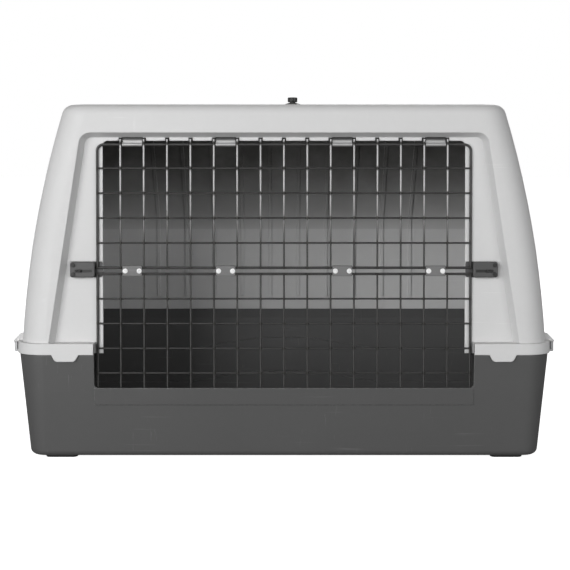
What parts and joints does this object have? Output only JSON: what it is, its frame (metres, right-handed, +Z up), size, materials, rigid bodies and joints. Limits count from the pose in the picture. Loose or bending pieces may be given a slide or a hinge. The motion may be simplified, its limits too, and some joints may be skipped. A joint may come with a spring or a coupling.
{
  "type": "animal transport crate",
  "caption": "Two-part moulded plastic transport crate for small animals, with a wide two-panel wire door that folds up, sliding latches and clips that join shell and tray.",
  "frame": {"origin": "on the ground under the centre of the crate", "axes": "+X to the right of someone facing the door, +Y to the rear, +Z up"},
  "size_m": [1.062, 0.674, 0.704],
  "materials": {
    "shell_plastic": "light grey moulded polypropylene, fine grain",
    "tray_plastic": "dark grey moulded polypropylene, fine grain",
    "grille_wire": "grey zinc-plated welded wire",
    "strap_zinc": "rolled zinc-plated sheet",
    "screw_steel": "bright plated screws and pins",
    "link_plastic": "grey moulded plastic",
    "latch_plastic": "dark grey moulded plastic",
    "bolt_plastic": "black moulded plastic",
    "clip_plastic": "light grey moulded plastic",
    "knob_plastic": "black moulded plastic",
    "foot_rubber": "black rubber"
  },
  "bodies": {
    "crate": {"upper_shell": "shell_plastic", "lower_tray": "tray_plastic", "top_strap_1": "strap_zinc", "top_strap_2": "strap_zinc", "top_strap_3": "strap_zinc", "top_strap_4": "strap_zinc", "strap_screws": "screw_steel", "left_latch_plate": "latch_plastic", "left_latch_cover": "latch_plastic", "right_latch_plate": "latch_plastic", "right_latch_cover": "latch_plastic", "latch_screws": "screw_steel", "clip_pins": "screw_steel", "knob_base": "knob_plastic", "clamp_plate": "knob_plastic", "rubber_foot_1": "foot_rubber", "rubber_foot_2": "foot_rubber", "rubber_foot_3": "foot_rubber", "rubber_foot_4": "foot_rubber"},
    "upper_door": {"upper_grille": "grille_wire", "link_front_1": "link_plastic", "link_front_2": "link_plastic", "link_front_3": "link_plastic", "link_front_4": "link_plastic", "link_rear_1": "link_plastic", "link_rear_2": "link_plastic", "link_rear_3": "link_plastic", "link_rear_4": "link_plastic", "link_screws": "screw_steel"},
    "lower_door": {"lower_grille": "grille_wire"},
    "left_bolt": {"left_latch_bolt": "bolt_plastic"},
    "right_bolt": {"right_latch_bolt": "bolt_plastic"},
    "front_right_clip": {"clip_front_right": "clip_plastic"},
    "rear_right_clip": {"clip_rear_right": "clip_plastic"},
    "front_left_clip": {"clip_front_left": "clip_plastic"},
    "rear_left_clip": {"clip_rear_left": "clip_plastic"},
    "knob": {"roof_knob": "knob_plastic", "clamp_stud": "screw_steel"}
  },
  "joints": [
    {"name": "door_swing", "type": "hinge", "parent": "crate", "child": "upper_door", "pos_m": [0, -0.3125, 0.6085], "axis": [-1, 0, 0], "range_deg": [0, 73]},
    {"name": "lower_fold", "type": "hinge", "parent": "upper_door", "child": "lower_door", "pos_m": [0, -0.3125, 0.359], "axis": [-1, 0, 0], "range_deg": [-150, 0]},
    {"name": "left_bolt_slide", "type": "slide", "parent": "crate", "child": "left_bolt", "axis": [1, 0, 0], "range_m": [0, 0.012]},
    {"name": "right_bolt_slide", "type": "slide", "parent": "crate", "child": "right_bolt", "axis": [-1, 0, 0], "range_m": [0, 0.012]},
    {"name": "front_right_clip_turn", "type": "hinge", "parent": "crate", "child": "front_right_clip", "pos_m": [0.522, -0.25, 0.227], "axis": [0, -1, 0], "range_deg": [0, 110]},
    {"name": "rear_right_clip_turn", "type": "hinge", "parent": "crate", "child": "rear_right_clip", "pos_m": [0.522, 0.25, 0.227], "axis": [0, -1, 0], "range_deg": [0, 110]},
    {"name": "front_left_clip_turn", "type": "hinge", "parent": "crate", "child": "front_left_clip", "pos_m": [-0.522, -0.25, 0.227], "axis": [0, 1, 0], "range_deg": [0, 110]},
    {"name": "rear_left_clip_turn", "type": "hinge", "parent": "crate", "child": "rear_left_clip", "pos_m": [-0.522, 0.25, 0.227], "axis": [0, 1, 0], "range_deg": [0, 110]},
    {"name": "knob_turn", "type": "hinge", "parent": "crate", "child": "knob", "pos_m": [0.017, -0.23, 0.695], "axis": [0, 0, 1], "continuous": true}
  ],
  "couplings": [
    {"joint": "lower_fold", "follows": "door_swing", "ratio": -2.05}
  ]
}
